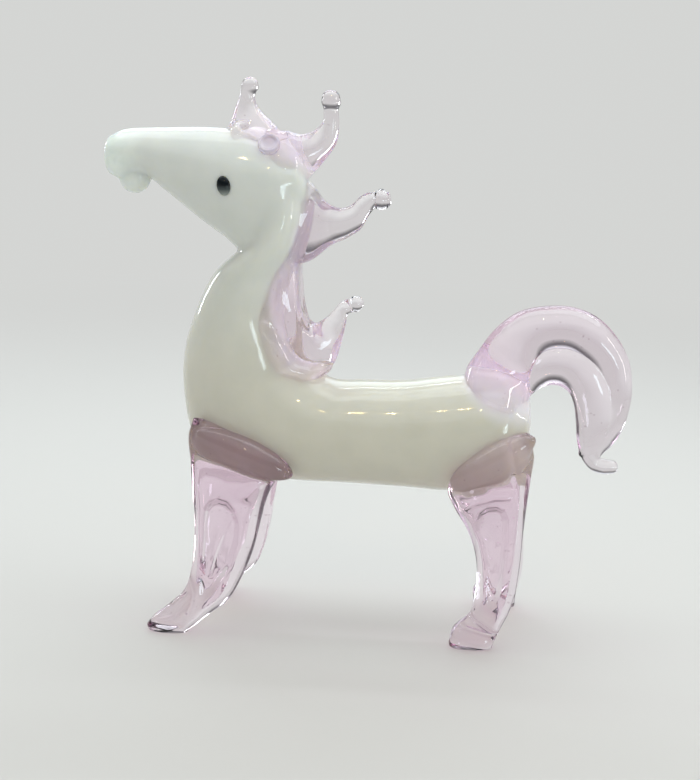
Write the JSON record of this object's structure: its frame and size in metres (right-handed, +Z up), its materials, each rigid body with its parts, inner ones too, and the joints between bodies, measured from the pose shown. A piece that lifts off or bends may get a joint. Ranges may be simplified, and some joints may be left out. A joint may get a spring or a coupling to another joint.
{
  "type": "glass horse figurine",
  "caption": "Small lampworked glass horse, opal white body with clear pink legs, mane locks and curled tail.",
  "frame": {"origin": "bottom centre of the bounding box, on the plane the four feet stand on", "axes": "+Z up; the horse faces -X; its left side is at -Y"},
  "size_m": [0.0726, 0.0226, 0.075],
  "materials": {
    "opal_white_glass": "fire polished, glossy, opal",
    "pink_glass": "fire polished, glossy, clear pale pink",
    "black_glass": "fire polished, glossy, opaque"
  },
  "bodies": {
    "root": {"body": "opal_white_glass", "lower_lip": "opal_white_glass", "left_eye": "black_glass", "right_eye": "black_glass", "left_ear": "pink_glass", "right_ear": "pink_glass", "forelock": "pink_glass", "mane_poll_lock": "pink_glass", "mane_neck_lock": "pink_glass", "mane_withers_lock": "pink_glass", "tail": "pink_glass", "left_foreleg": "pink_glass", "right_foreleg": "pink_glass", "left_hind_leg": "pink_glass", "right_hind_leg": "pink_glass"}
  },
  "joints": []
}
